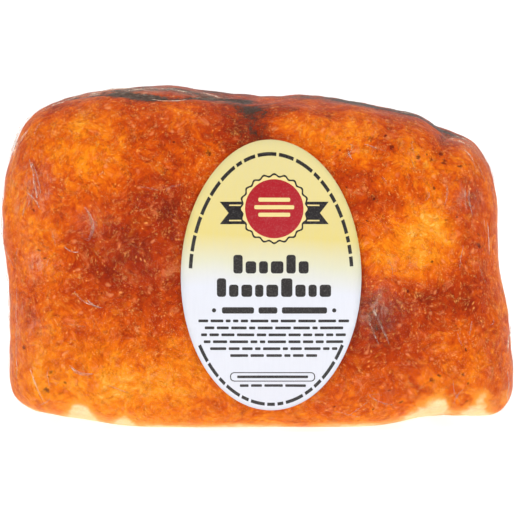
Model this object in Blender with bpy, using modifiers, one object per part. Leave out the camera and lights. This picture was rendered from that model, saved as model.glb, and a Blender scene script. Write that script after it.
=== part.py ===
"""A glazed gammon joint sealed in a tight clear film, with an oval paper label on its front.

Frame: metres, +Z up. +X runs along the joint's length, to the right as seen from the front, and the label
faces -Y. The origin is at the middle of the footprint, on the surface that the joint stands on.
"""

import math

import bmesh
import bpy
import numpy as np
from mathutils import Vector, noise
from mathutils.bvhtree import BVHTree

MM = 0.001

# The joint.
LENGTH = 200 * MM
HEIGHT = 134.4 * MM
BASE_DEPTH = 98 * MM
CROWN_DEPTH = 80 * MM
MIDDLE_HEIGHT = 0.5
FOOT_CUT = 4 * MM
SQUARENESS_AT_BASE = 6.2
SQUARENESS_AT_CROWN = 4.4
CELLS_ALONG = 18
CELLS_DEEP = 8
CELLS_UP = 12

# The joint's front outline, anticlockwise from the left foot. Each point is (share of half the length,
# share of the height). The crown dips between its two lobes and steps down to the right shoulder.
OUTLINE = [
    (-0.965, 0.131), (-0.880, 0.080), (-0.660, 0.046), (-0.300, 0.013), (0.100, 0.018),
    (0.480, 0.022), (0.700, 0.052), (0.920, 0.060), (0.990, 0.090), (1.008, 0.200),
    (0.980, 0.342), (0.950, 0.509), (0.940, 0.671), (0.897, 0.787), (0.825, 0.849),
    (0.740, 0.857), (0.620, 0.912), (0.420, 0.948), (0.130, 0.971), (-0.045, 0.978),
    (-0.270, 0.997), (-0.550, 0.991), (-0.760, 0.959), (-0.870, 0.906), (-0.930, 0.822),
    (-0.973, 0.722), (-0.988, 0.637), (-0.970, 0.479), (-0.958, 0.303), (-0.968, 0.200),
]  # fmt: skip
OUTLINE_SAMPLES = 720

# The groove that the tying string left between the two lobes, over the crown and down both faces.
GROOVE_X = -6 * MM
GROOVE_LEAN = 14 * MM
GROOVE_DEPTH = 4.5 * MM
GROOVE_HALF_WIDTH = 10 * MM
GROOVE_FADES_FROM = 0.55
GROOVE_FADES_TO = 0.95

# Dents in the surface: (centre x, y, z, reach, depth), all in millimetres.
DENTS = [
    (47, -47, 44, 12, 2.6),
    (68, -38, 104, 9, 2.0),
    (84, -30, 72, 17, 1.8),
    (-86, -36, 62, 15, 1.6),
    (-66, -40, 12, 9, 1.8),
    (62, -42, 10, 10, 1.8),
    (-46, 48, 66, 18, 2.4),
    (52, 47, 40, 16, 2.2),
]

# The muscle's own unevenness.
SWELL_HEIGHT = 1.5 * MM
SWELL_SIZE = 42 * MM

# The label.
LABEL_WIDTH = 67.5 * MM
LABEL_HEIGHT = 101 * MM
LABEL_CENTRE_X = 5.4 * MM
LABEL_CENTRE_Z = 63 * MM
LABEL_THICKNESS = 0.3 * MM
LABEL_GAP = 0.4 * MM
LABEL_LIFT = 1.0 * MM
LABEL_CELLS_ACROSS = 12
LABEL_CELLS_UP = 16
LABEL_RELAXATIONS = 30


def clear_scene():
    for thing in list(bpy.data.objects):
        bpy.data.objects.remove(thing, do_unlink=True)


def eased(value, start, end):
    """0 before start and 1 after end, with a smooth rise between them."""
    share = min(1.0, max(0.0, (value - start) / (end - start)))
    return share * share * (3 - 2 * share)


def rounded_outline():
    """Points evenly spaced round the closed Catmull-Rom curve through OUTLINE, as metres in (x, z)."""
    given = np.array(OUTLINE) * (LENGTH / 2, HEIGHT)
    count = len(given)
    curve = []
    for index in range(count):
        before, start, end, after = (given[(index + step) % count] for step in (-1, 0, 1, 2))
        for share in np.linspace(0, 1, 24, endpoint=False):
            curve.append(
                0.5 * (2 * start + (end - before) * share
                       + (2 * before - 5 * start + 4 * end - after) * share**2
                       + (3 * start - before - 3 * end + after) * share**3)
            )  # fmt: skip
    curve = np.array([*curve, curve[0]])
    along = np.concatenate([[0], np.cumsum(np.linalg.norm(np.diff(curve, axis=0), axis=1))])
    wanted = np.linspace(0, along[-1], OUTLINE_SAMPLES, endpoint=False)
    return np.column_stack([np.interp(wanted, along, curve[:, axis]) for axis in (0, 1)])


def outline_by_direction(outline):
    """The outline's distance from the joint's middle in each direction, as (angles, distances)."""
    offsets = outline - (0, MIDDLE_HEIGHT * HEIGHT)
    angles = np.arctan2(offsets[:, 1], offsets[:, 0])
    order = np.argsort(angles)
    return angles[order], np.linalg.norm(offsets, axis=1)[order]


def placed_on_joint(cube_point, angles, distances):
    """Where a point of the cube from -1 to 1 lies on the smooth joint, before its groove and dents."""
    u, v, w = cube_point
    ring = max(abs(u), abs(w))
    squareness = SQUARENESS_AT_BASE + (SQUARENESS_AT_CROWN - SQUARENESS_AT_BASE) * (w + 1) / 2
    edge = 0.5 ** (1 / squareness)
    if abs(v) > 0.999:
        reach = ring * edge
        depth = math.copysign((1 - reach**squareness) ** (1 / squareness), v)
    else:
        depth = v * edge
        reach = (1 - abs(depth) ** squareness) ** (1 / squareness)
    # The cube's square face is turned into the outline: its half sides stand for half the length and height.
    angle = math.atan2(w * HEIGHT / 2, u * LENGTH / 2)
    distance = reach * np.interp(angle, angles, distances, period=2 * math.pi)
    x = distance * math.cos(angle)
    z = MIDDLE_HEIGHT * HEIGHT + distance * math.sin(angle)
    half_depth = (BASE_DEPTH + (CROWN_DEPTH - BASE_DEPTH) * (z / HEIGHT) ** 1.4 if z > 0 else BASE_DEPTH) / 2
    return Vector((x, depth * half_depth, z))


def groove_depth(point):
    height = point.z / HEIGHT
    middle = GROOVE_X + GROOVE_LEAN * (1 - height)
    across = (point.x - middle) / GROOVE_HALF_WIDTH
    return GROOVE_DEPTH * math.exp(-across * across) * eased(height, GROOVE_FADES_FROM, GROOVE_FADES_TO)


def dent_depth(point):
    depth = 0.0
    for x, y, z, reach, deep in DENTS:
        away = (point - Vector((x, y, z)) * MM).length / (reach * MM)
        depth += deep * MM * math.exp(-away * away)
    return depth


def swell(point):
    return SWELL_HEIGHT * noise.noise(point / SWELL_SIZE)


def edge_axis(edge):
    """Which axis an edge of the cube runs along."""
    run = edge.verts[1].co - edge.verts[0].co
    return max(range(3), key=lambda axis: abs(run[axis]))


def joint_mesh():
    """A cube cut into cells and drawn out to the joint's shape, as a cage for Subdivision Surface."""
    angles, distances = outline_by_direction(rounded_outline())
    cage = bmesh.new()
    bmesh.ops.create_cube(cage, size=2)
    for axis, cells in enumerate((CELLS_ALONG, CELLS_DEEP, CELLS_UP)):
        running = [edge for edge in cage.edges if edge_axis(edge) == axis]
        bmesh.ops.subdivide_edges(cage, edges=running, cuts=cells - 1)
    for vertex in cage.verts:
        vertex.co = placed_on_joint(vertex.co, angles, distances)
    cage.normal_update()
    moved = []
    for vertex in cage.verts:
        inwards = groove_depth(vertex.co) + dent_depth(vertex.co) - swell(vertex.co)
        moved.append(vertex.co - vertex.normal * inwards)
    for vertex, place in zip(cage.verts, moved):
        vertex.co = (place.x, place.y, max(0.0, place.z - FOOT_CUT))
    mesh = bpy.data.meshes.new("wrapped_gammon")
    cage.to_mesh(mesh)
    cage.free()
    return mesh


def surface_in_front(obj):
    """A function that gives the y of an object's front surface at (x, z)."""
    graph = bpy.context.evaluated_depsgraph_get()
    tree = BVHTree.FromObject(obj, graph)

    def front(x, z):
        hit = tree.ray_cast(Vector((x, -1, z)), Vector((0, 1, 0)))[0]
        return hit.y

    return front


def label_mesh(front):
    """An oval grid laid on the joint's front. It bridges small hollows, but lifts no more than LABEL_LIFT."""
    grid = bmesh.new()
    bmesh.ops.create_grid(grid, x_segments=LABEL_CELLS_ACROSS, y_segments=LABEL_CELLS_UP, size=1)
    for vertex in grid.verts:
        u, v, _ = vertex.co
        x = LABEL_CENTRE_X + LABEL_WIDTH / 2 * u * math.sqrt(1 - v * v / 2)
        z = LABEL_CENTRE_Z + LABEL_HEIGHT / 2 * v * math.sqrt(1 - u * u / 2)
        vertex.co = (x, front(x, z) - LABEL_GAP, z)
    ahead = {vertex: vertex.co.y for vertex in grid.verts}
    for _ in range(LABEL_RELAXATIONS):
        eased_back = {}
        for vertex in grid.verts:
            near = [edge.other_vert(vertex).co.y for edge in vertex.link_edges]
            wanted = (vertex.co.y + sum(near) / len(near)) / 2
            eased_back[vertex] = min(ahead[vertex], max(ahead[vertex] - LABEL_LIFT, wanted))
        for vertex, y in eased_back.items():
            vertex.co.y = y
    grid.normal_update()
    if sum(face.normal.y for face in grid.faces) > 0:
        bmesh.ops.reverse_faces(grid, faces=grid.faces[:])
    mesh = bpy.data.meshes.new("label")
    grid.to_mesh(mesh)
    grid.free()
    return mesh


def plain_material(name, colour, roughness):
    material = bpy.data.materials.new(name)
    material.use_nodes = True
    shader = material.node_tree.nodes["Principled BSDF"]
    shader.inputs["Base Color"].default_value = (*colour, 1)
    shader.inputs["Roughness"].default_value = roughness
    shader.inputs["Metallic"].default_value = 0
    return material


def named_object(name, mesh, collection, material):
    made = bpy.data.objects.new(name, mesh)
    collection.objects.link(made)
    mesh.materials.append(material)
    mesh.shade_smooth()
    return made


def build_joint(collection):
    glaze = plain_material("glazed_gammon", (0.67, 0.138, 0.022), 0.3)
    joint = named_object("wrapped_gammon", joint_mesh(), collection, glaze)
    smoother = joint.modifiers.new("Subdivision", "SUBSURF")
    smoother.levels = 1
    smoother.render_levels = 1
    return joint


def build_label(collection, joint):
    bpy.context.view_layer.update()
    paper = plain_material("label_paper", (0.86, 0.84, 0.62), 0.4)
    label = named_object("label", label_mesh(surface_in_front(joint)), collection, paper)
    thickness = label.modifiers.new("Thickness", "SOLIDIFY")
    thickness.thickness = LABEL_THICKNESS
    thickness.offset = 1
    return label


def stand_on_origin(objects):
    """Moves the meshes so that the middle of their common footprint is at the origin."""
    bpy.context.view_layer.update()
    graph = bpy.context.evaluated_depsgraph_get()
    corners = []
    for obj in objects:
        mesh = obj.evaluated_get(graph).to_mesh()
        corners += [vertex.co.copy() for vertex in mesh.vertices]
    middle = [(min(c[axis] for c in corners) + max(c[axis] for c in corners)) / 2 for axis in (0, 1)]
    lowest = min(c.z for c in corners)
    for obj in objects:
        for vertex in obj.data.vertices:
            vertex.co -= Vector((*middle, lowest))


def main():
    clear_scene()
    collection = bpy.data.collections.new("glazed_gammon")
    bpy.context.scene.collection.children.link(collection)
    joint = build_joint(collection)
    label = build_label(collection, joint)
    stand_on_origin([joint, label])


main()
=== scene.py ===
"""The looks of the glazed ham joint: meat, the clear film drawn tight on it and a printed oval label."""

import math
import random

import bmesh
import bpy
import numpy as np
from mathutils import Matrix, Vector, noise
from mathutils.bvhtree import BVHTree
from mathutils.geometry import delaunay_2d_cdt


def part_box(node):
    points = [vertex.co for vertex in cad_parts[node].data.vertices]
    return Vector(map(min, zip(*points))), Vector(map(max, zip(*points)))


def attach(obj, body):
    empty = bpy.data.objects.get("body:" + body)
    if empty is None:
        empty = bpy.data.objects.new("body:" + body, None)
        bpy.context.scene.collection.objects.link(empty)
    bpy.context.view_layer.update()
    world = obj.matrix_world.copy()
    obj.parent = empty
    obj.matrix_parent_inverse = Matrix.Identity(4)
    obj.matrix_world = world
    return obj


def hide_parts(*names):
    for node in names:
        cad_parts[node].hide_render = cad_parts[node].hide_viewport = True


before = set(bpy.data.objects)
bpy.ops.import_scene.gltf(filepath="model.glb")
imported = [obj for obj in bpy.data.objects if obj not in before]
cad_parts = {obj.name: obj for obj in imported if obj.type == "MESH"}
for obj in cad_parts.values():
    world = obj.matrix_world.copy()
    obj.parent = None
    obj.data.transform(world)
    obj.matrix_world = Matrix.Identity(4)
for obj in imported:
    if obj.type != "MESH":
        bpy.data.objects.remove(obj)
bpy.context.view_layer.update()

MM = 0.001
JOINT = "wrapped_gammon"
LABEL = "label"

# How far the meat lies under the CAD surface, which is the film's outside, and above the floor.
MEAT_INSET = 0.45 * MM
MEAT_ABOVE_FLOOR = 0.4 * MM

# How often a CAD face is divided in two each way.
FINENESS = 2

# Broad zones of the glaze on the front: (x, z, reach across, reach up, tone), in millimetres.
# A tone above 0 is brighter and more yellow, one below 0 is darker and redder.
FRONT_ZONES = [
    (-64, 106, 14, 16, 0.22),
    (-79, 97, 7, 11, -0.18),
    (-80, 78, 8, 9, 0.16),
    (65, 77, 15, 13, 0.34),
    (17, 117, 8, 10, 0.14),
    (-61, 20, 20, 11, 0.26),
    (-33, 22, 22, 11, 0.22),
    (76, 106, 7, 8, 0.10),
    (-31, 124, 6, 5, 0.12),
    (50, 68, 9, 8, 0.14),
    (-41, 82, 20, 19, -0.34),
    (-30, 88, 8, 15, -0.18),
    (-56, 62, 14, 13, -0.24),
    (-36, 53, 14, 13, -0.26),
    (-41, 117, 13, 9, -0.16),
    (-20, 116, 9, 10, -0.10),
    # The next zone darkens the groove above the label: partly the glaze's own tone, partly painted shade in
    # the groove.
    (-2, 110, 9, 15, -0.44),
    (33, 99, 8, 9, -0.30),
    (43, 48, 13, 13, -0.34),
    (66, 52, 22, 7, -0.30),
    (55, 35, 11, 9, -0.20),
    (80, 87, 7, 10, -0.24),
    (72, 108, 5, 5, -0.18),
    (-87, 52, 6, 7, -0.12),
    (44, 88, 11, 5, -0.20),
    (88, 33, 6, 12, -0.10),
    (-66, 76, 11, 9, -0.18),
    (37, 112, 7, 8, 0.22),
    (50, 113, 6, 5, -0.18),
    (59, 106, 6, 6, 0.24),
    (24, 112, 6, 9, 0.10),
    (31, 56, 7, 16, -0.26),
    (33, 34, 8, 9, -0.22),
    (80, 66, 9, 14, -0.22),
    (-50, 110, 8, 7, 0.08),
    (-14, 118, 6, 8, -0.14),
    (-86, 22, 8, 13, 0.20),
    (-94, 40, 5, 14, 0.12),
    (-92, 84, 6, 14, 0.10),
    (94, 50, 6, 12, 0.16),
    (84, 22, 6, 9, 0.14),
]

# The back has this many zones, drawn at random.
BACK_ZONES = 22
BACK_TONES = (-0.36, -0.28, -0.22, 0.16, 0.22, 0.28)
MIDDLE_TONE = 0.55
ZONE_STRENGTH = 0.92

# Where the surface is darkened: (x, y, z, reach, strength), in millimetres. On the crown this is char; the
# four spots down the groove above the label are partly char and partly painted shade in the groove; the pair
# right of the label is a darker patch.
CHAR_AND_SHADE_SPOTS = [
    (-7, -9, 124, 5, 0.90),
    (-4, -20, 122, 6, 0.50),
    (-3, -27, 117, 9, 0.48),
    (0, -35, 111, 9, 0.44),
    (42, -46, 49, 9, 0.42),
    (48, -46, 40, 7, 0.32),
    (28, 2, 123, 10, 0.35),
    (-54, -6, 129, 11, 0.50),
    (-34, -10, 129, 8, 0.40),
    (-24, -8, 128, 7, 0.35),
    (78, 2, 110, 6, 0.50),
]

# Dark streaks: (points on the surface, half width, strength), in millimetres. The three along the crease at
# the top left and the one down the crease on the right are partly char and partly painted shade in those
# creases; the rest are char.
CHAR_AND_SHADE_STREAKS = [
    ([(-76, -3, 125), (-65, -10, 127), (-57, -15, 128), (-51, -18, 128)], 2.2, 0.70),
    ([(-53, -17, 128), (-46, -20, 128), (-41, -21, 128)], 3.4, 1.05),
    ([(-41, -21, 128), (-31, -21, 128), (-22, -17, 127), (-14, -9, 126), (-8, -8, 124)], 2.0, 0.80),
    ([(36, 4, 122), (44, 0, 122), (54, -3, 119), (62, -2, 117), (69, 0, 114)], 5.5, 0.95),
    ([(73, -8, 112), (71, -20, 110), (70, -28, 106)], 2.2, 0.35),
    ([(-96, 4, 84), (-94, 16, 70), (-95, 18, 52)], 3.0, 0.45),
    ([(-30, 20, 127), (-10, 24, 122), (8, 20, 121)], 4.0, 0.70),
    ([(36, 30, 117), (52, 26, 115)], 4.0, 0.55),
]

# Burnt specks on the front: (x, z, radius), in millimetres.
SPECKS = [
    (43, 113, 1.2),
    (49, 114, 0.9),
    (51, 110, 1.1),
    (61, 106, 1.0),
    (66, 105, 1.0),
    (70, 107, 1.1),
    (71, 104, 1.2),
    (77, 102, 0.9),
    (84, 76, 1.0),
    (84, 72, 1.2),
    (66, 22, 1.1),
    (69, 24, 0.9),
    (78, 24, 0.8),
    (80, 13, 0.8),
    (50, 18, 0.7),
    (-54, 96, 0.9),
    (-85, 86, 0.8),
    (-81, 68, 0.9),
    (-75, 66, 0.8),
    (-78, 25, 1.0),
    (-80, 18, 1.3),
    (-89, 33, 1.0),
    (-73, 21, 0.7),
    (-18, 108, 1.3),
    (-12, 104, 1.1),
    (-16, 112, 1.0),
]

# Pale patches of bare fat near the foot: (x, z, reach, strength), in millimetres.
PALE = [
    (-66, 5, 5, 1.35),
    (-68, 10, 4, 1.10),
    (-51, 5, 4, 0.95),
    (-88, 8, 5, 0.45),
    (-38, 2, 5, 0.25),
    (62, 6, 6, 0.90),
    (69, 11, 5, 1.20),
    (84, 8, 5, 1.20),
    (86, 15, 3, 0.80),
    (95, 12, 4, 0.50),
    (40, 1, 6, 0.25),
]

# The back's pale patches are the front's, turned round and moved along by this much, in millimetres.
PALE_BEHIND = 12

# Creases in the meat: (points on the surface, depth, half width), in millimetres.
CREASES = [
    ([(-76, -3, 125), (-65, -10, 127), (-57, -15, 128), (-49, -19, 128), (-41, -21, 128)], 1.2, 1.7),
    ([(-41, -21, 128), (-31, -21, 128), (-22, -17, 127), (-14, -9, 126), (-8, -8, 124)], 1.3, 1.7),
    ([(-6, -8, 122), (-3, -24, 118), (1, -33, 113), (4, -38, 104)], 1.6, 2.4),
    ([(74, -8, 112), (71, -22, 110), (68, -31, 105), (65, -37, 98)], 1.2, 2.2),
    ([(38, -14, 118), (52, -18, 115), (64, -16, 112)], 0.7, 1.8),
    ([(-96, -22, 98), (-92, -30, 84), (-90, -34, 66)], 0.8, 2.0),
]

# Where the outline swells a little beyond the CAD shape: (x, z, reach, how far), in millimetres.
SWELLS = [
    (93, 8, 9, 1.9),
    (-89, 9, 11, 1.1),
    (-86, 114, 9, 1.7),
    (-8, 124, 10, 1.6),
    (63, 114, 8, 1.0),
    (92, 86, 24, 1.2),
    (98, 46, 20, 1.2),
]

# Where the film is milky with small creases, which is partly its own milkiness and partly painted glints,
# most of all along the crown at the top left: (x, y, z, reach, strength), in millimetres.
HAZE_AND_GLINTS = [
    (80, -18, 110, 7, 0.26),
    (43, -45, 50, 8, 0.20),
    (81, -36, 90, 6, 0.20),
    (-83, -36, 94, 8, 0.18),
    (-63, -43, 82, 6, 0.08),
    (-86, -36, 40, 8, 0.16),
    (-84, -40, 66, 5, 0.22),
    (-76, -8, 124, 6, 0.24),
    (-62, -8, 128, 9, 0.46),
    (-42, -10, 130, 10, 0.42),
    (-22, -12, 128, 8, 0.30),
]

# Folds in the film: (points on the surface, width, height, milkiness), in millimetres. The milkiness along a
# fold's crest is partly painted glint.
FOLDS = [
    ([(-85, -10, 116), (-91, -10, 110), (-94, -10, 101)], 2.0, 0.7, 0.9),
    ([(-86, -22, 114), (-92, -22, 109), (-94, -20, 102)], 1.6, 1.0, 0.7),
    ([(-86, -30, 105), (-83, -33, 96), (-82, -36, 88)], 0.9, 0.4, 0.8),
    ([(-84, -30, 103), (-82, -34, 97), (-81, -36, 92)], 0.7, 0.4, 0.9),
    ([(-87, -33, 92), (-84, -36, 90), (-81, -37, 86)], 0.8, 0.3, 0.7),
    ([(-65, -42, 88), (-62, -43, 81), (-64, -43, 75)], 1.4, 0.3, 0.3),
    ([(-69, -44, 56), (-65, -45, 52), (-58, -46, 50)], 0.5, 0.4, 1.3),
    ([(-64, -45, 53), (-62, -45, 51), (-59, -46, 50)], 0.8, 0.4, 1.5),
    ([(-73, -42, 73), (-70, -43, 71), (-67, -43, 71)], 0.5, 0.3, 0.8),
    ([(-94, -20, 64), (-92, -25, 52), (-92, -25, 37)], 0.8, 0.5, 0.8),
    ([(-90, -30, 56), (-90, -32, 38), (-89, -32, 21)], 0.7, 0.4, 0.7),
    ([(-93, -20, 84), (-93, -22, 74), (-90, -28, 64)], 0.8, 0.4, 0.7),
    ([(-86, -40, 26), (-84, -41, 20), (-82, -42, 13)], 0.8, 0.3, 0.7),
    ([(-71, -46, 28), (-67, -46, 25), (-62, -46, 25)], 1.2, 0.2, 0.6),
    ([(93, -25, 40), (91, -28, 34), (90, -30, 28)], 0.6, 0.4, 1.4),
    ([(81, -35, 94), (81, -36, 89), (82, -36, 84)], 0.7, 0.3, 0.8),
    ([(79, -35, 95), (79, -36, 90), (80, -36, 86)], 0.5, 0.3, 0.7),
    ([(74, -15, 113), (78, -17, 111), (81, -19, 107)], 1.2, 0.4, 0.8),
    ([(76, -8, 114), (81, -9, 111), (84, -12, 106)], 1.0, 0.4, 0.9),
    ([(79, -24, 109), (82, -26, 104), (83, -28, 99)], 0.7, 0.3, 0.7),
    ([(40, -46, 56), (45, -47, 47), (50, -47, 36)], 1.5, 0.3, 0.5),
    ([(38, -46, 53), (42, -47, 45), (46, -47, 36)], 1.0, 0.3, 0.5),
    ([(42, -46, 17), (47, -46, 13), (52, -46, 11)], 0.5, 0.3, 0.8),
    ([(87, -30, 81), (88, -30, 75), (88, -30, 68)], 0.6, 0.3, 0.7),
    ([(-74, -5, 126), (-66, -6, 128), (-60, -12, 129)], 1.0, 0.4, 0.9),
    ([(-62, -7, 129), (-54, -4, 130), (-46, -9, 130)], 1.1, 0.4, 1.0),
    ([(-50, -13, 130), (-40, -10, 130), (-34, -14, 130)], 0.8, 0.4, 0.9),
    ([(-36, -8, 130), (-28, -12, 129), (-22, -8, 128)], 0.9, 0.4, 0.8),
    ([(-40, -24, 127), (-33, -25, 127), (-27, -23, 127)], 0.5, 0.3, 0.9),
    ([(-22, -6, 128), (-15, -8, 126), (-9, -5, 125)], 0.9, 0.4, 0.9),
    ([(50, -3, 120), (57, -5, 118), (62, -3, 117)], 0.8, 0.3, 0.8),
    ([(-81, -15, 118), (-77, -15, 121), (-73, -15, 123)], 0.7, 0.4, 0.8),
]
FOLD_STEPS = 16
FOLD_SUNK = 0.06 * MM
SMALL_FOLDS = 110

# Where the meat and film stay smooth under the label: middle x, reach across, middle z, reach up.
UNDER_LABEL = (4.3 * MM, 36 * MM, 63 * MM, 53 * MM)

# The printed label's half width and half height, how far its middle lies from the CAD label's middle,
# and the spacing of its mesh, in millimetres.
LABEL_HALF = (34.0, 51.0)
LABEL_SHIFT = (0.9, -1.2)
LABEL_GRID = 2.5
LABEL_MARGIN = 1.5
PAPER_THICKNESS = 0.25 * MM
FINE_PRINT_PITCH = 2.64

# The lights: (name, place, size, power in watts), and what they and the camera look at.
LIGHTS = [
    ("key", (-0.72, -0.88, 0.75), (0.5, 0.6), 6.95),
    ("fill", (0.78, -0.9, 0.6), (0.5, 0.6), 5.9),
    ("top", (0.1, -0.1, 1.3), (1.0, 0.5), 3.3),
]
LIGHT_TARGET = (0, 0, 0.06)
CAMERA_TARGET = (0.0001, 0, 0.0627)
CAMERA_DISTANCE = 1.1
CAMERA_LIFT = math.radians(8)
CAMERA_LENS = 195.7
FLOOR_RADIUS = 6
FLOOR_DROP = 0.1 * MM


def eased(value, start, end):
    """0 at start and 1 at end, with a smooth rise between, for numbers and arrays alike."""
    share = np.clip((value - start) / (end - start), 0, 1)
    return share * share * (3 - 2 * share)


def srgb(red, green, blue):
    """The linear colour of an sRGB colour given from 0 to 255."""
    channels = [channel / 255 for channel in (red, green, blue)]
    return tuple(c / 12.92 if c <= 0.04045 else ((c + 0.055) / 1.055) ** 2.4 for c in channels) + (1.0,)


# ---------------------------------------------------------------- meshes


def new_object(name, mesh):
    made = bpy.data.objects.new(name, mesh)
    bpy.context.scene.collection.objects.link(made)
    return made


def fine_copy(node, name):
    """A finer, smooth copy of a CAD node's mesh."""
    shape = bmesh.new()
    shape.from_mesh(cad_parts[node].data)
    bmesh.ops.remove_doubles(shape, verts=shape.verts[:], dist=0.01 * MM)
    bmesh.ops.join_triangles(
        shape,
        faces=shape.faces[:],
        angle_face_threshold=math.radians(40),
        angle_shape_threshold=math.radians(60),
    )
    mesh = bpy.data.meshes.new(name)
    shape.to_mesh(mesh)
    shape.free()
    rough = new_object(name + "_cage", mesh)
    smoother = rough.modifiers.new("Subdivision", "SUBSURF")
    smoother.levels = smoother.render_levels = FINENESS
    bpy.context.view_layer.update()
    depsgraph = bpy.context.evaluated_depsgraph_get()
    fine = bpy.data.meshes.new_from_object(rough.evaluated_get(depsgraph))
    fine.name = name
    bpy.data.objects.remove(rough, do_unlink=True)
    fine.materials.clear()
    fine.shade_smooth()
    return new_object(name, fine)


def places_and_normals(mesh):
    places = np.empty(len(mesh.vertices) * 3, np.float32)
    mesh.vertices.foreach_get("co", places)
    normals = np.empty(len(mesh.vertices) * 3, np.float32)
    mesh.vertex_normals.foreach_get("vector", normals)
    return places.reshape(-1, 3).astype(float), normals.reshape(-1, 3).astype(float)


def move_to(mesh, places):
    mesh.vertices.foreach_set("co", places.astype(np.float32).ravel())
    mesh.update()


def noise_at(places, size, seed=0.0):
    """Perlin noise at each place, about -1 to 1, with features of that size."""
    shift = Vector((seed * 7.3, seed * 3.1, -seed * 5.7))
    return np.array([noise.noise(Vector(place) / size + shift) for place in places])


def set_mask(mesh, name, values):
    layer = mesh.attributes.new(name, "FLOAT", "POINT")
    layer.data.foreach_set("value", values.astype(np.float32))


def distance_to_path(places, path):
    """How far each place is from a path of straight runs, in metres."""
    nearest = np.full(len(places), np.inf)
    for start, end in zip(path, path[1:]):
        start = np.array(start) * MM
        run = np.array(end) * MM - start
        share = np.clip((places - start) @ run / (run @ run), 0, 1)
        nearest = np.minimum(nearest, np.linalg.norm(places - start - share[:, None] * run, axis=1))
    return nearest


# ---------------------------------------------------------------- node helpers


class Shader:
    """A material's node tree, with short ways to add the nodes that the surfaces here need."""

    def __init__(self, name):
        self.material = bpy.data.materials.new(name)
        self.material.use_nodes = True
        self.tree = self.material.node_tree
        self.tree.nodes.clear()
        self.output = self.tree.nodes.new("ShaderNodeOutputMaterial")
        coordinates = self.tree.nodes.new("ShaderNodeTexCoord")
        self.place = coordinates.outputs["Object"]

    def node(self, kind, **inputs):
        made = self.tree.nodes.new(kind)
        for name, value in inputs.items():
            self.feed(made.inputs[name.replace("_", " ")], value)
        return made

    def feed(self, socket, value):
        if isinstance(value, bpy.types.NodeSocket):
            self.tree.links.new(value, socket)
        else:
            socket.default_value = value

    def math(self, operation, first, second=0.0):
        made = self.tree.nodes.new("ShaderNodeMath")
        made.operation = operation
        for socket, value in zip(made.inputs, (first, second)):
            self.feed(socket, value)
        return made.outputs[0]

    def plus(self, first, second):
        return self.math("ADD", first, second)

    def times(self, first, second):
        return self.math("MULTIPLY", first, second)

    def swing(self, texture, strength):
        """A texture of 0 to 1 as a swing about nothing, of that strength."""
        return self.times(self.math("SUBTRACT", texture, 0.5), strength)

    def mask(self, name):
        made = self.tree.nodes.new("ShaderNodeAttribute")
        made.attribute_name = name
        return made.outputs["Fac"]

    def drawn_out(self, stretch, turn=(0, 0, 0), place=None):
        """The place as seen by a texture that is stretched along its own axes and then turned."""
        made = self.tree.nodes.new("ShaderNodeMapping")
        made.vector_type = "TEXTURE"
        self.feed(made.inputs["Vector"], place or self.place)
        made.inputs["Scale"].default_value = stretch
        made.inputs["Rotation"].default_value = turn
        return made.outputs["Vector"]

    def line(self, texture, width, middle=0.5):
        """1 along the thin lines where a texture passes its middle value."""
        away = self.math("ABSOLUTE", self.math("SUBTRACT", texture, middle))
        return self.step(away, width, 0.0)

    def either(self, share, first, second):
        rest = self.math("SUBTRACT", 1, share)
        return self.plus(self.times(first, share), self.times(second, rest))

    def noise(self, size, detail=2.0, roughness=0.5, distortion=0.0, place=None):
        """Noise from 0 to 1, around 0.5, with features of that many metres."""
        made = self.node(
            "ShaderNodeTexNoise", Scale=1 / size, Detail=detail, Roughness=roughness, Distortion=distortion
        )
        self.feed(made.inputs["Vector"], place or self.place)
        return made.outputs["Fac"]

    def cells(self, size, place):
        made = self.node("ShaderNodeTexVoronoi", Scale=1 / size)
        self.feed(made.inputs["Vector"], place)
        return made

    def chances(self, cells):
        """Three random numbers of each cell, as the outputs Red, Green and Blue."""
        return self.node("ShaderNodeSeparateColor", Color=cells.outputs["Color"]).outputs

    def moved(self, place, shift):
        made = self.node("ShaderNodeVectorMath")
        self.feed(made.inputs[0], place)
        self.feed(made.inputs[1], shift)
        return made.outputs[0]

    def step(self, value, start, end, low=0.0, high=1.0):
        """From low at the start to high at the end, with a smooth rise between."""
        made = self.tree.nodes.new("ShaderNodeMapRange")
        made.interpolation_type = "SMOOTHSTEP"
        for name, given in (("Value", value), ("From Min", start), ("From Max", end)):
            self.feed(made.inputs[name], given)
        for name, given in (("To Min", low), ("To Max", high)):
            self.feed(made.inputs[name], given)
        return made.outputs["Result"]

    def mix(self, share, first, second):
        made = self.tree.nodes.new("ShaderNodeMix")
        made.data_type = "RGBA"
        self.feed(made.inputs["Factor"], share)
        self.feed(made.inputs[6], first)
        self.feed(made.inputs[7], second)
        return made.outputs[2]

    def ramp(self, value, stops):
        made = self.tree.nodes.new("ShaderNodeValToRGB")
        self.feed(made.inputs["Fac"], value)
        band = made.color_ramp
        while len(band.elements) < len(stops):
            band.elements.new(1.0)
        for element, (position, colour) in zip(band.elements, stops):
            element.position = position
            element.color = colour
        return made.outputs["Color"]

    def bump(self, height, depth, strength):
        made = self.node("ShaderNodeBump", Strength=strength, Distance=depth, Height=height)
        return made.outputs["Normal"]

    def principled(self, **inputs):
        made = self.node("ShaderNodeBsdfPrincipled", **inputs)
        self.tree.links.new(made.outputs["BSDF"], self.output.inputs["Surface"])
        return made


# ---------------------------------------------------------------- meat


def zone_tone(places, zones):
    """How much the zones brighten or darken each place."""
    tone = np.zeros(len(places))
    for x, z, across, up, shift in zones:
        away = ((places[:, 0] / MM - x) / across) ** 2 + ((places[:, 2] / MM - z) / up) ** 2
        tone += shift * np.exp(-away * 0.8)
    return tone


def random_zones():
    chance = random.Random(11)
    zones = []
    for _ in range(BACK_ZONES):
        across = chance.uniform(9, 22)
        x = chance.uniform(-85, 85)
        z = chance.uniform(15, 118)
        up = across * chance.uniform(0.6, 1.1)
        zones.append((x, z, across, up, chance.choice(BACK_TONES)))
    return zones


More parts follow.
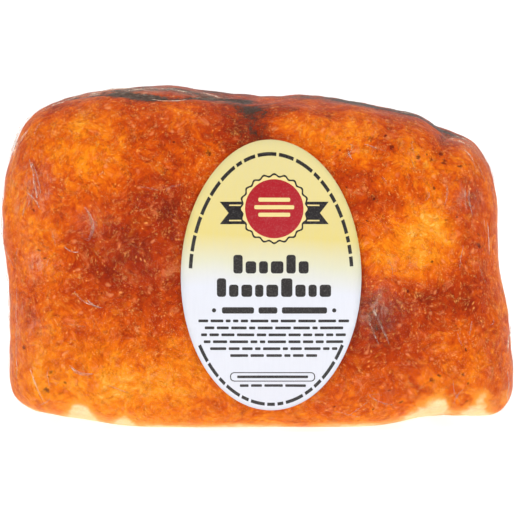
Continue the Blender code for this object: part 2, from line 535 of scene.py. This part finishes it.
def meat_masks(places, normals):
    """The glaze's tone, and how charred, how pale and how spotted the surface is, at each place. The char
    carries painted shade along the creases too, and the paleness carries painted light from the floor along
    the foot and the underside.
    """
    front = eased(-places[:, 1], -0.010, 0.022)
    tone = MIDDLE_TONE + ZONE_STRENGTH * zone_tone(places, FRONT_ZONES) * front
    tone += ZONE_STRENGTH * zone_tone(places, random_zones()) * (1 - front)
    tone += 0.10 * noise_at(places, 0.022, 1) + 0.07 * noise_at(places, 0.011, 2)
    top = eased(normals[:, 2], 0.72, 0.95)
    tone -= top * (0.14 + 0.15 * noise_at(places, 0.016, 3))
    # Brighter and more yellow along the foot on the front: partly the glaze paling towards the bare fat,
    # partly painted light from the floor below.
    tone += 0.20 * (1 - eased(places[:, 2], 0.002, 0.013)) * front

    behind = eased(places[:, 1], -0.016, 0.006)
    char_and_shade = top * (0.22 + 0.22 * behind + 0.46 * noise_at(places, 0.009, 4))
    # Spots along the groove paint shade there as well as char.
    for x, y, z, reach, strength in CHAR_AND_SHADE_SPOTS:
        away = np.linalg.norm(places - np.array((x, y, z)) * MM, axis=1) / (reach * MM)
        char_and_shade += strength * np.exp(-away * away)
    # Streaks along the creases paint shade there as well as char.
    for path, half_width, strength in CHAR_AND_SHADE_STREAKS:
        away = distance_to_path(places, path) / (half_width * MM)
        char_and_shade += strength * np.exp(-away * away)

    low = 1 - eased(places[:, 2], 0.000, 0.009)
    # Paler along the foot and on the faces turned down: partly bare fat, partly painted light from the floor
    # below.
    fat_and_glow = low * (0.12 + 0.8 * noise_at(places, 0.014, 5)) + 0.60 * eased(-normals[:, 2], 0.70, 1.0)
    for x, z, reach, strength in PALE:
        for middle, share in ((x, front), (PALE_BEHIND - x, 1 - front)):
            away = np.hypot(places[:, 0] / MM - middle, places[:, 2] / MM - z) / reach
            fat_and_glow += strength * np.exp(-away * away) * share
    spotted = np.zeros(len(places))
    for x, z, radius in SPECKS:
        away = np.hypot(places[:, 0] / MM - x, places[:, 2] / MM - z) / radius
        spotted = np.maximum(spotted, np.exp(-away * away) * front)
    return {"tone": tone, "char_and_shade": char_and_shade, "fat_and_glow": fat_and_glow, "spotted": spotted}


def under_label(places):
    """1 where the label lies and 0 away from it."""
    middle_x, reach_x, middle_z, reach_z = UNDER_LABEL
    x, z = (places[:, 0] - middle_x) / reach_x, (places[:, 2] - middle_z) / reach_z
    return np.exp(-((x * x + z * z) ** 4)) * eased(-places[:, 1], 0.0, 0.02)


def lumps(places):
    """The unevenness that the meat and the film share, in metres."""
    height = 0.75 * noise_at(places, 0.015, 6) + 0.42 * noise_at(places, 0.0075, 7)
    return height * MM * eased(places[:, 2], 0.0005, 0.006) * (1 - under_label(places))


def swells(places, normals):
    """How far each place moves out in the plane of the front outline, in metres."""
    push = np.zeros(len(places))
    for x, z, reach, far in SWELLS:
        away = np.hypot(places[:, 0] / MM - x, places[:, 2] / MM - z) / reach
        push += far * MM * np.exp(-away * away)
    return push[:, None] * normals * (1, 0, 1)


def creases(places):
    """How deep the meat is creased, in metres."""
    depth = np.zeros(len(places))
    for path, deep, half_width in CREASES:
        away = distance_to_path(places, path) / (half_width * MM)
        depth = np.maximum(depth, deep * MM * np.exp(-away * away))
    return depth


def meat_relief(places):
    """How far the meat's surface stands out from its smooth shape, in metres."""
    fine = 0.20 * MM * noise_at(places * (1, 1, 0.6), 0.0036, 8) * eased(places[:, 2], 0.0005, 0.006)
    return lumps(places) + fine - creases(places) - MEAT_INSET


def bent_place(s):
    """The place, bent a little so that nothing runs straight."""
    warp = s.node("ShaderNodeTexNoise", Scale=1 / 0.012, Detail=2.0, Vector=s.place).outputs["Color"]
    bend = s.node("ShaderNodeVectorMath")
    bend.operation = "SCALE"
    s.feed(bend.inputs[0], warp)
    bend.inputs["Scale"].default_value = 0.009
    return s.moved(s.place, bend.outputs[0])


def muscle_fibres(s, place):
    """Fibres drawn out one way in some patches and another way in the rest."""
    one_way = s.noise(0.0011, 3, 0.6, 0.4, s.drawn_out((1, 1, 3.6), (0, 0.75, 0.3), place))
    other_way = s.noise(0.0011, 3, 0.6, 0.4, s.drawn_out((1, 1, 3.2), (0.3, -0.95, 0), place))
    return s.either(s.step(s.noise(0.016, 1), 0.44, 0.56), one_way, other_way)


def glaze_colour(s, tone, place, fine_textures):
    """The glaze from dark red to pale yellow, by its tone and the textures on it."""
    blotch = s.noise(0.0062, 4, 0.62, 0.6, place)
    patches = s.noise(0.0034, 5, 0.7, 0.6, place)
    total = tone
    for texture, strength in ((blotch, 0.74), (patches, 0.52), *fine_textures):
        total = s.plus(total, s.swing(texture, strength))
    return s.ramp(
        total,
        [
            (0.00, srgb(130, 38, 18)),
            (0.16, srgb(154, 45, 13)),
            (0.34, srgb(184, 62, 12)),
            (0.52, srgb(211, 86, 11)),
            (0.66, srgb(228, 111, 14)),
            (0.80, srgb(242, 137, 20)),
            (0.92, srgb(249, 160, 44)),
            (1.00, srgb(252, 184, 88)),
        ],
    )


def with_patches(s, colour, tone, place):
    """Patches of deeper red, of yellow and of milky pink; the milky pink is partly the glaze's own colour and
    partly a painted soft reflection of the film.
    """
    for size, seed, start, end, strength, brightness, hue in (
        (0.0058, 3.1, 0.53, 0.66, 0.48, (0.9, 0.4), srgb(170, 46, 14)),
        (0.0050, 5.7, 0.54, 0.68, 0.46, (0.2, 0.6), srgb(250, 150, 32)),
        # Milky pink: partly the glaze's own colour, partly a painted soft reflection of the film.
        (0.0042, 8.3, 0.55, 0.69, 0.50, (-0.5, 0.0), srgb(234, 134, 80)),
    ):
        aside = s.moved(place, (seed, -seed, seed / 2))
        share = s.step(s.noise(size, 5, 0.66, 0.6, aside), start, end, 0, strength)
        share = s.times(share, s.step(tone, *brightness, 0.25, 1))
        colour = s.mix(share, colour, hue)
    return colour


def with_granules(s, colour, granules, chance):
    """Granules that are paler in their middles, some much more than others, and those middles."""
    distance = granules.outputs["Distance"]
    middles = s.times(s.step(distance, 0.42, 0.10), s.step(chance, 0.45, 0.85))
    middles = s.times(middles, s.step(s.noise(0.0060, 4, 0.6), 0.40, 0.60, 0.15, 1))
    colour = s.mix(s.times(middles, 0.72), colour, srgb(252, 172, 88))
    pits = s.times(s.step(distance, 0.52, 0.74), 0.12)
    return s.mix(pits, colour, srgb(160, 46, 12)), middles


def with_threads(s, colour, place):
    """Short curled threads in the glaze, light ones and dark cracks, and where each kind is."""
    gaps = s.step(s.noise(0.0030, 2, 0.5, 0.0, place), 0.50, 0.58)
    threads = s.times(s.line(s.noise(0.0021, 2, 0.55, 1.2), 0.030), gaps)
    colour = s.mix(s.times(threads, 0.55), colour, srgb(252, 180, 100))
    gaps = s.step(s.noise(0.0040, 2, 0.5, 0.3), 0.50, 0.60)
    cracks = s.times(s.line(s.noise(0.0030, 3, 0.6, 1.5, place), 0.026), gaps)
    return s.mix(s.times(cracks, 0.28), colour, srgb(140, 40, 14)), threads, cracks


def with_beads(s, colour, place):
    """Larger soft pale beads, in some cells only, and where they are."""
    cells = s.cells(0.0042, place)
    wanted = s.step(s.chances(cells)["Red"], 0.62, 0.72)
    beads = s.times(s.step(cells.outputs["Distance"], 0.27, 0.08), wanted)
    return s.mix(s.times(beads, 0.46), colour, srgb(248, 160, 100)), beads


def with_specks(s, colour, spotted, place):
    """Burnt specks: the large ones in their places, and a few small ones anywhere."""
    cells = s.cells(0.0055, place)
    rare = s.step(s.chances(cells)["Green"], 0.72, 0.76)
    small = s.times(s.step(cells.outputs["Distance"], 0.13, 0.06), rare)
    uneven = s.swing(s.noise(0.0011, 3, 0.7), 1.7)
    large = s.step(s.plus(spotted, uneven), 0.36, 0.80)
    return s.mix(s.times(s.math("MAXIMUM", small, large), 0.78), colour, srgb(84, 26, 18))


def with_fat_and_glow(s, colour, fat_and_glow):
    """The pale fat along the foot, partly painted light from the floor below on the faces turned down, with a
    ragged edge.
    """
    ragged = s.plus(fat_and_glow, s.swing(s.noise(0.0045, 4, 0.6, 0.4), 1.0))
    colour = s.mix(s.step(ragged, 0.10, 0.75, 0, 0.75), colour, srgb(253, 166, 60))
    cream = s.mix(s.noise(0.004, 3), srgb(252, 196, 116), srgb(255, 236, 196))
    return s.mix(s.step(ragged, 0.60, 1.15), colour, cream)


def with_char_and_shade(s, colour, char_and_shade):
    """The char on the crown and the painted shade along the creases, with a browned and ragged edge."""
    darkening = s.plus(char_and_shade, s.swing(s.noise(0.0024, 6, 0.74, 0.8), 1.9))
    # The darkest colour, soot, is also the painted shade at the bottoms of the creases.
    soot_and_shade = s.mix(s.noise(0.0016, 3, 0.6), srgb(30, 22, 18), srgb(92, 74, 62))
    colour = s.mix(s.step(darkening, 0.26, 0.66, 0, 0.66), colour, srgb(112, 42, 24))
    return s.mix(s.step(darkening, 0.58, 0.82, 0, 0.94), colour, soot_and_shade)


def meat_material():
    s = Shader("glazed_meat")
    tone = s.mask("tone")
    place = bent_place(s)
    fibre = muscle_fibres(s, place)
    mottle = s.noise(0.0019, 4, 0.68, 0.4, place)
    granules = s.cells(0.0013, place)
    chances = s.chances(granules)

    colour = glaze_colour(s, tone, place, ((mottle, 0.40), (fibre, 0.34), (chances["Red"], 0.06)))
    colour = with_patches(s, colour, tone, place)
    colour, middles = with_granules(s, colour, granules, chances["Green"])
    colour, threads, cracks = with_threads(s, colour, place)
    colour, beads = with_beads(s, colour, place)
    colour = with_specks(s, colour, s.mask("spotted"), place)
    colour = with_fat_and_glow(s, colour, s.mask("fat_and_glow"))
    colour = with_char_and_shade(s, colour, s.mask("char_and_shade"))

    height = s.times(fibre, 0.3)
    reliefs = ((mottle, 0.5), (middles, 0.30), (beads, 0.20), (threads, 0.25), (cracks, -0.35))
    for texture, strength in reliefs:
        height = s.plus(height, s.times(texture, strength))
    shader = s.principled(Base_Color=colour, Roughness=0.45, Normal=s.bump(height, 0.0007, 0.75))
    shader.inputs["Specular IOR Level"].default_value = 0.06
    return s.material


def build_meat():
    meat = fine_copy(JOINT, "meat")
    places, normals = places_and_normals(meat.data)
    for name, values in meat_masks(places, normals).items():
        set_mask(meat.data, name, values)
    moved = places + normals * meat_relief(places)[:, None] + swells(places, normals)
    moved[:, 2] = np.maximum(moved[:, 2], MEAT_ABOVE_FLOOR)
    move_to(meat.data, moved)
    meat.data.materials.append(meat_material())
    return meat


# ---------------------------------------------------------------- film


def film_material():
    s = Shader("clear_film")
    haze_and_glint = s.mask("haze_and_glint")
    crinkle = s.noise(0.010, 4, 0.6, 1.2, s.drawn_out((1, 1, 2)))
    fine = s.noise(0.0028, 3, 0.6, 0.6)
    height = s.plus(s.times(crinkle, 0.8), s.times(fine, 0.25))
    normal = s.bump(height, 0.0016, 0.55)
    clear = s.node("ShaderNodeBsdfTransparent", Color=(0.99, 0.99, 0.985, 1))
    gloss = s.node("ShaderNodeBsdfGlossy", Color=(1, 1, 1, 1), Roughness=0.10, Normal=normal)
    edge = s.times(s.node("ShaderNodeFresnel", IOR=1.36, Normal=normal).outputs["Fac"], 0.15)
    # A white diffuse layer: partly the film's own milkiness, partly painted glints on its creases and folds.
    milky_glint = s.node("ShaderNodeBsdfDiffuse", Color=(1.0, 0.79, 0.62, 1), Normal=normal)
    streaks = s.step(s.noise(0.0026, 5, 0.68, 1.0, s.drawn_out((1, 1, 3))), 0.46, 0.66, 0.12, 1)
    body = s.node("ShaderNodeMixShader")
    s.feed(body.inputs[0], s.math("MINIMUM", s.times(haze_and_glint, streaks), 0.85))
    s.feed(body.inputs[1], clear.outputs[0])
    s.feed(body.inputs[2], milky_glint.outputs[0])
    top = s.node("ShaderNodeMixShader")
    s.feed(top.inputs[0], edge)
    s.feed(top.inputs[1], body.outputs[0])
    s.feed(top.inputs[2], gloss.outputs[0])
    s.tree.links.new(top.outputs[0], s.output.inputs["Surface"])
    return s.material


def small_folds():
    """Short folds drawn at random all over the film, mostly upright at the ends."""
    chance = random.Random(17)
    folds = []
    while len(folds) < SMALL_FOLDS:
        x, z = chance.uniform(-98, 98), chance.uniform(6, 124)
        side = chance.choice((-1, 1))
        if abs(x) < 70 and chance.random() < 0.45:
            continue
        y = side * (46 if abs(x) < 84 else chance.uniform(0, 40))
        lean = chance.gauss(0, 0.35) if abs(x) > 70 else chance.uniform(-1.5, 1.5)
        length = chance.uniform(3, 13) / 2
        run, rise = length * math.sin(lean), length * math.cos(lean)
        bow = chance.uniform(-1.6, 1.6)
        points = [(x - run, y, z - rise), (x + bow, y, z), (x + run, y, z + rise)]
        glint_milkiness = chance.uniform(0.2, 0.7) * (1 if abs(x) > 80 else 0.55)
        folds.append((points, chance.uniform(0.35, 0.8), chance.uniform(0.15, 0.35), glint_milkiness))
    return folds


def folds_mesh(film):
    """Narrow closed ridges that lie on the film, with how milky each corner is; the milk on the crests is
    partly painted glint.
    """
    tree = BVHTree.FromObject(film, bpy.context.evaluated_depsgraph_get())
    verts, faces, milky_glint = [], [], []
    for points, width, height, glint_milkiness in FOLDS + small_folds():
        first, middle, last = (Vector(point) * MM for point in points)
        places = []
        for step in range(FOLD_STEPS + 1):
            t = step / FOLD_STEPS
            place = first * ((1 - t) * (1 - 2 * t)) + middle * (4 * t * (1 - t)) + last * (t * (2 * t - 1))
            place, normal, _, _ = tree.find_nearest(place)
            if under_label(np.array([place]))[0] > 0.1:
                continue
            swell = math.sin(math.pi * (0.04 + 0.92 * t)) ** 0.7
            places.append((place, normal, swell))
        if len(places) < FOLD_STEPS // 2:
            continue
        start = len(verts)
        for index, (place, normal, swell) in enumerate(places):
            before = places[max(index - 1, 0)][0]
            after = places[min(index + 1, len(places) - 1)][0]
            across = (after - before).cross(normal)
            if across.length < 1e-9:
                across = normal.orthogonal()
            across = across.normalized() * (width / 2 * MM * swell)
            sunk = normal * -FOLD_SUNK
            verts += [place - across + sunk, place + normal * (height * MM * swell), place + across + sunk]
            # The crest carries the most milk, partly as a painted glint.
            milky_glint += [glint_milkiness * 0.15, glint_milkiness, glint_milkiness * 0.15]
        for row in range(start, start + (len(places) - 1) * 3, 3):
            for side in range(3):
                here, beside = row + side, row + (side + 1) % 3
                faces.append((here, beside, beside + 3, here + 3))
        last_row = start + (len(places) - 1) * 3
        faces.append((start + 2, start + 1, start))
        faces.append((last_row, last_row + 1, last_row + 2))
    mesh = bpy.data.meshes.new("folds")
    mesh.from_pydata(verts, [], faces)
    mesh.shade_smooth()
    set_mask(mesh, "haze_and_glint", np.array(milky_glint))
    return mesh


def build_film():
    film = fine_copy(JOINT, "film")
    places, normals = places_and_normals(film.data)
    ends = eased(np.abs(places[:, 0]), 0.080, 0.097)
    ridge = 1 - np.abs(noise_at(places * (1.0, 1.0, 0.42), 0.0085, 9)) * 2
    ridge = eased(ridge, 0.62, 1.0)
    out = (0.04 + 0.40 * ends) * MM * ridge * eased(places[:, 2], 0.0005, 0.005) * (1 - under_label(places))
    out += lumps(places) - 0.6 * creases(places)
    # Milkiness along the ridges at the ends and in the listed patches, partly painted glints.
    haze_and_glint = ends * 0.10 * ridge
    for x, y, z, reach, strength in HAZE_AND_GLINTS:
        away = np.linalg.norm(places - np.array((x, y, z)) * MM, axis=1) / (reach * MM)
        haze_and_glint += strength * np.exp(-away * away)
    set_mask(film.data, "haze_and_glint", haze_and_glint)
    moved = places + normals * out[:, None] + swells(places, normals)
    moved[:, 2] = np.maximum(moved[:, 2], 0)
    move_to(film.data, moved)
    bpy.context.view_layer.update()
    joined = bmesh.new()
    joined.from_mesh(film.data)
    joined.from_mesh(folds_mesh(film))
    joined.to_mesh(film.data)
    joined.free()
    film.data.materials.append(film_material())
    return film


# ---------------------------------------------------------------- label

PAPER, DARK, RED, CREAM, BLACK = range(5)


def oval(half_x, half_z, count=96, x=0.0, z=0.0):
    turns = [2 * math.pi * index / count for index in range(count)]
    return [(x + half_x * math.cos(turn), z + half_z * math.sin(turn)) for turn in turns]


def bar(x, z, length, height, corner):
    """A rounded rectangle about (x, z)."""
    points = []
    for side_x, side_z, start in ((1, 1, 0), (-1, 1, 90), (-1, -1, 180), (1, -1, 270)):
        for part in range(4):
            angle = math.radians(start + part * 30)
            across = side_x * (length / 2 - corner) + corner * math.cos(angle)
            up = side_z * (height / 2 - corner) + corner * math.sin(angle)
            points.append((x + across, z + up))
    return points


def arc_bar(half_x, half_z, start, end, height):
    """A bar bent along an oval, between two angles of the oval's own parameter."""
    steps = max(2, int(abs(end - start) / 0.05) + 1)
    turns = [start + (end - start) * step / steps for step in range(steps + 1)]
    outer = [((half_x + height / 2) * math.cos(t), (half_z + height / 2) * math.sin(t)) for t in turns]
    inner = [((half_x - height / 2) * math.cos(t), (half_z - height / 2) * math.sin(t)) for t in turns]
    return outer + inner[::-1]


def word_bars_along(half_x, half_z, start, end, height, chance):
    """Bars with gaps between them, as words along an oval."""
    shapes = []
    turn = start
    way = 1 if end > start else -1
    while (end - turn) * way > 0.03:
        pace = math.hypot(half_x * math.sin(turn), half_z * math.cos(turn))
        length = min(chance.uniform(2.2, 7.5) / pace, abs(end - turn))
        shapes.append(arc_bar(half_x, half_z, turn, turn + way * length, height))
        turn += way * (length + 1.0 / pace)
    return shapes


def word_bars(left, right, z, height, chance, gap=0.9, shortest=1.8, longest=7.0):
    """Bars with gaps between them, as words along a line."""
    shapes = []
    x = left
    while right - x > shortest:
        length = min(chance.uniform(shortest, longest), right - x)
        if right - x - length < shortest + gap:
            length = right - x
        shapes.append(bar(x + length / 2, z, length, height, height * 0.3))
        x += length + gap
    return shapes


def rosette(radius, points, dip, x, z, count=160):
    """A round outline with that many soft points."""
    outline = []
    for index in range(count):
        turn = 2 * math.pi * index / count
        reach = radius * (1 + dip * math.cos(points * turn))
        outline.append((x + reach * math.cos(turn), z + reach * math.sin(turn)))
    return outline


def rim_words(chance):
    """Words that follow the label's rim, above and below."""
    above = word_bars_along(30.4, 45.8, math.radians(176), math.radians(4), 1.35, chance)
    below = word_bars_along(31.8, 48.7, math.radians(212), math.radians(328), 1.25, chance)
    return [(outline, DARK) for outline in above + below]


def seal(x, z):
    """A plain seal with a straight ribbon behind it and three bars on it."""
    shapes = []
    ribbon = [(0, -5.7), (20.5, -5.7), (17.2, -1.5), (20.5, 2.7), (0, 2.7)]
    for side in (-1, 1):
        shapes.append(([(x + side * across, z + up) for across, up in ribbon], BLACK))
        for low in (1.1, -4.6):
            stripe = [(9, low), (17.0, low), (17.0, low + 0.5), (9, low + 0.5)]
            shapes.append(([(x + side * across, z + up) for across, up in stripe], CREAM))
    shapes.append((rosette(12.8, 20, 0.035, x, z), BLACK))
    shapes.append((rosette(12.1, 20, 0.035, x, z), CREAM))
    shapes.append((oval(11.0, 11.0, 72, x, z), RED))
    for up, length in ((3.4, 12.0), (0.6, 15.0), (-2.2, 12.0)):
        shapes.append((bar(x, z + up, length, 1.5, 0.5), CREAM))
    return shapes


def headline(chance):
    """Two lines as rows of blocks, of which a few rise higher."""
    shapes = []
    tall, higher, gap, shortest = 4.6, 2.4, 1.1, 2.4
    for left, right, z in ((-14.2, 17.0, 3.6), (-20.4, 22.6, -5.2)):
        x = left
        rise = higher
        while right - x > shortest:
            width = min(chance.uniform(3.0, 4.8), right - x)
            shapes.append((bar(x + width / 2, z + rise / 2, width, tall + rise, 1.0), DARK))
            x += width + gap
            rise = chance.choice((0.0, 0.0, 0.0, higher))
    return shapes


def subheading(chance):
    """A smaller line of words between two dots."""
    words = word_bars(-18.5, 21.1, -12.6, 2.4, chance, 1.7, 7.0, 13.0)
    dots = [oval(0.8, 0.8, 16, x, -12.6) for x in (-21.5, 23.8)]
    return [(outline, DARK) for outline in words + dots]


def fine_print(chance):
    shapes = []
    sides = ((-27.4, 29.4), (-25.0, 27.2), (-26.4, 28.2), (-25.4, 27.2), (-23.0, 25.0), (-15.4, 17.4))
    for index, (left, right) in enumerate(sides):
        for outline in word_bars(left, right, -16.6 - index * FINE_PRINT_PITCH, 1.05, chance):
            shapes.append((outline, DARK))
    return shapes


def boxed_line(chance):
    """A line in a rounded frame, and a shorter line under it."""
    shapes = [(bar(0.6, -38.0, 32.2, 3.6, 1.5), DARK), (bar(0.6, -38.0, 31.4, 2.9, 1.2), PAPER)]
    boxed = word_bars(-12.8, 14.0, -38.0, 1.0, chance, 0.0, 26, 27)
    under = word_bars(-11.8, 13.2, -41.4, 1.0, chance)
    return shapes + [(outline, DARK) for outline in boxed + under]


def label_print():
    """The label's shapes, in the order they are printed: (outline, ink), measured from its middle."""
    chance = random.Random(5)
    shapes = rim_words(chance)
    shapes += seal(1.2, 25.5)
    shapes += headline(chance)
    shapes += subheading(chance)
    shapes += fine_print(chance)
    shapes += boxed_line(chance)
    return shapes


def inks_at(middles, shapes):
    """The ink at each of the given points: that of the last shape printed over it."""
    inks = np.zeros(len(middles), int)
    for outline, ink in shapes:
        inside = np.zeros(len(middles), bool)
        for (ax, az), (bx, bz) in zip(outline, outline[1:] + outline[:1]):
            if az == bz:
                continue
            crosses = (az > middles[:, 1]) != (bz > middles[:, 1])
            inside ^= crosses & (middles[:, 0] < ax + (middles[:, 1] - az) * (bx - ax) / (bz - az))
        inks[inside] = ink
    return inks


def label_surface():
    """The label's front as a smooth function of (x, z), and its middle, from the CAD label."""
    low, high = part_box(LABEL)
    middle = ((low.x + high.x) / 2 + LABEL_SHIFT[0] * MM, (low.z + high.z) / 2 + LABEL_SHIFT[1] * MM)
    tree = BVHTree.FromObject(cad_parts[LABEL], bpy.context.evaluated_depsgraph_get())
    samples = []
    for x in np.linspace(low.x, high.x, 29):
        for z in np.linspace(low.z, high.z, 41):
            hit = tree.ray_cast(Vector((x, -1, z)), Vector((0, 1, 0)))[0]
            if hit:
                samples.append((x, z, hit.y))
    samples = np.array(samples)

    def terms(x, z):
        u = (x - middle[0]) / (LABEL_HALF[0] * MM)
        v = (z - middle[1]) / (LABEL_HALF[1] * MM)
        return np.array([u**i * v**j for i in range(7) for j in range(7 - i)])

    known = np.array([terms(x, z) for x, z, _ in samples])
    weights = np.linalg.lstsq(known, samples[:, 2], rcond=None)[0]

    def front(x, z):
        ripple = 0.10 * MM * noise.noise(Vector((x / 0.016, 0, z / 0.03)))
        return float(terms(x, z) @ weights) + ripple

    return front, middle


def paper_material():
    s = Shader("label_paper")
    split = s.node("ShaderNodeSeparateXYZ", Vector=s.place).outputs
    weave = s.noise(0.0008, 2, 0.6, 0.0, s.drawn_out((1, 1, 12)))
    level = s.plus(split["Z"], s.swing(s.noise(0.02, 2), 0.006))
    level = s.plus(level, s.times(split["X"], 0.06))
    colour = s.ramp(
        s.step(level, 0.050, 0.112),
        [
            (0.03, srgb(216, 218, 226)),
            (0.18, srgb(214, 212, 186)),
            (0.42, srgb(217, 200, 124)),
            (1.0, srgb(216, 202, 140)),
        ],
    )
    colour = s.mix(s.step(weave, 0.4, 0.7, 0, 0.06), colour, srgb(190, 190, 200))
    s.principled(Base_Color=colour, Roughness=0.42, Normal=s.bump(weave, 0.0001, 0.2))
    return s.material


def ink_material(name, colour):
    s = Shader(name)
    worn = s.mix(s.step(s.noise(0.0006, 2, 0.7), 0.45, 0.75, 0, 0.12), colour, srgb(170, 165, 160))
    s.principled(Base_Color=worn, Roughness=0.38)
    return s.material


def build_label():
    front, (middle_x, middle_z) = label_surface()
    shapes = [(oval(*LABEL_HALF, 128), PAPER)] + label_print()
    verts = []
    edges = []
    for outline, _ in shapes:
        start = len(verts)
        verts += [Vector(point) for point in outline]
        edges += [(start + index, start + (index + 1) % len(outline)) for index in range(len(outline))]
    for column in range(-14, 15):
        for row in range(-21, 22):
            x, z = column * LABEL_GRID, row * LABEL_GRID
            if (x / (LABEL_HALF[0] - LABEL_MARGIN)) ** 2 + (z / (LABEL_HALF[1] - LABEL_MARGIN)) ** 2 < 1:
                verts.append(Vector((x, z)))
    points, _, triangles, _, _, _ = delaunay_2d_cdt(verts, edges, [], 0, 1e-5, False)
    flat = np.array([tuple(point) for point in points])
    inks = inks_at(flat[np.array(triangles)].mean(axis=1), shapes)
    shape = bmesh.new()
    made = []
    for x, z in points:
        place_x, place_z = middle_x + x * MM, middle_z + z * MM
        made.append(shape.verts.new((place_x, front(place_x, place_z), place_z)))
    for corners, ink in zip(triangles, inks):
        face = shape.faces.new([made[index] for index in corners])
        face.material_index = int(ink)
        face.smooth = True
    loose = [vert for vert in shape.verts if not vert.link_faces]
    bmesh.ops.delete(shape, geom=loose, context="VERTS")
    shape.normal_update()
    if sum(face.normal.y for face in shape.faces) > 0:
        bmesh.ops.reverse_faces(shape, faces=shape.faces[:])

    # The paper's edge and its back.
    rim = [edge for edge in shape.edges if len(edge.link_faces) == 1]
    behind = {vert: shape.verts.new(vert.co + Vector((0, PAPER_THICKNESS, 0))) for vert in list(shape.verts)}
    for face in list(shape.faces):
        shape.faces.new([behind[vert] for vert in reversed(face.verts)]).smooth = True
    for edge in rim:
        first, second = edge.verts
        loop = edge.link_loops[0]
        if loop.vert is not first:
            first, second = second, first
        shape.faces.new((second, first, behind[first], behind[second]))
    mesh = bpy.data.meshes.new("printed_label")
    shape.normal_update()
    shape.to_mesh(mesh)
    shape.free()
    mesh.materials.append(paper_material())
    for name, colour in (
        ("label_dark_ink", srgb(34, 30, 30)),
        ("label_red_ink", srgb(166, 18, 32)),
        ("label_cream_ink", srgb(228, 208, 140)),
        ("label_black_ink", srgb(24, 20, 22)),
    ):
        mesh.materials.append(ink_material(name, colour))
    return new_object("printed_label", mesh)


# ---------------------------------------------------------------- studio


def soft_light(name, place, size, power):
    lamp = bpy.data.lights.new(name, "AREA")
    lamp.shape = "RECTANGLE"
    lamp.size, lamp.size_y = size
    lamp.energy = power
    made = new_object(name, lamp)
    made.location = place
    aim = Vector(LIGHT_TARGET) - Vector(place)
    made.rotation_euler = aim.to_track_quat("-Z", "Y").to_euler()
    made.visible_glossy = False


def build_world():
    """White behind the object and soft light from above and behind, with a darker side towards the viewer."""
    world = bpy.data.worlds.new("studio")
    world.use_nodes = True
    tree = world.node_tree
    background = tree.nodes["Background"]
    background.inputs["Color"].default_value = (1, 1, 1, 1)
    direction = tree.nodes.new("ShaderNodeTexCoord").outputs["Generated"]
    split = tree.nodes.new("ShaderNodeSeparateXYZ")
    tree.links.new(direction, split.inputs[0])
    towards = tree.nodes.new("ShaderNodeMapRange")
    towards.interpolation_type = "SMOOTHSTEP"
    tree.links.new(split.outputs["Y"], towards.inputs["Value"])
    for name, given in (("From Min", -0.75), ("From Max", 0.15), ("To Min", 0.13), ("To Max", 0.70)):
        towards.inputs[name].default_value = given
    seen = tree.nodes.new("ShaderNodeLightPath").outputs["Is Camera Ray"]
    strength = tree.nodes.new("ShaderNodeMix")
    tree.links.new(seen, strength.inputs["Factor"])
    tree.links.new(towards.outputs["Result"], strength.inputs["A"])
    strength.inputs["B"].default_value = 1.05
    tree.links.new(strength.outputs["Result"], background.inputs["Strength"])
    bpy.context.scene.world = world
    bpy.context.scene.view_settings.view_transform = "Standard"


def build_floor():
    mesh = bpy.data.meshes.new("floor")
    shape = bmesh.new()
    bmesh.ops.create_circle(shape, cap_ends=True, radius=FLOOR_RADIUS, segments=64)
    shape.to_mesh(mesh)
    shape.free()
    floor = new_object("floor", mesh)
    floor.location.z = -FLOOR_DROP
    s = Shader("pale_floor")
    fat_and_glow = s.principled(Base_Color=(0.55, 0.56, 0.57, 1), Roughness=0.7)
    fat_and_glow.inputs["Emission Color"].default_value = (1, 1, 1, 1)
    fat_and_glow.inputs["Emission Strength"].default_value = 0.85
    mesh.materials.append(s.material)


def build_camera():
    lens = bpy.data.cameras.new("camera")
    lens.lens = CAMERA_LENS
    lens.sensor_width = 36
    lens.clip_end = 50
    camera = new_object("camera", lens)
    target = Vector(CAMERA_TARGET)
    back = Vector((0, -math.cos(CAMERA_LIFT), math.sin(CAMERA_LIFT)))
    camera.location = target + CAMERA_DISTANCE * back
    camera.rotation_euler = (target - camera.location).to_track_quat("-Z", "Y").to_euler()
    bpy.context.scene.camera = camera


def build_studio():
    build_world()
    build_floor()
    for name, place, size, power in LIGHTS:
        soft_light(name, place, size, power)
    build_camera()


def main():
    meat = build_meat()
    film = build_film()
    label = build_label()
    for piece, node, slot in (
        (meat, JOINT, "glazed_gammon"),
        (film, JOINT, "clear_film"),
        (label, LABEL, "label_paper"),
    ):
        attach(piece, "root")
        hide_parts(node)
    build_studio()


main()
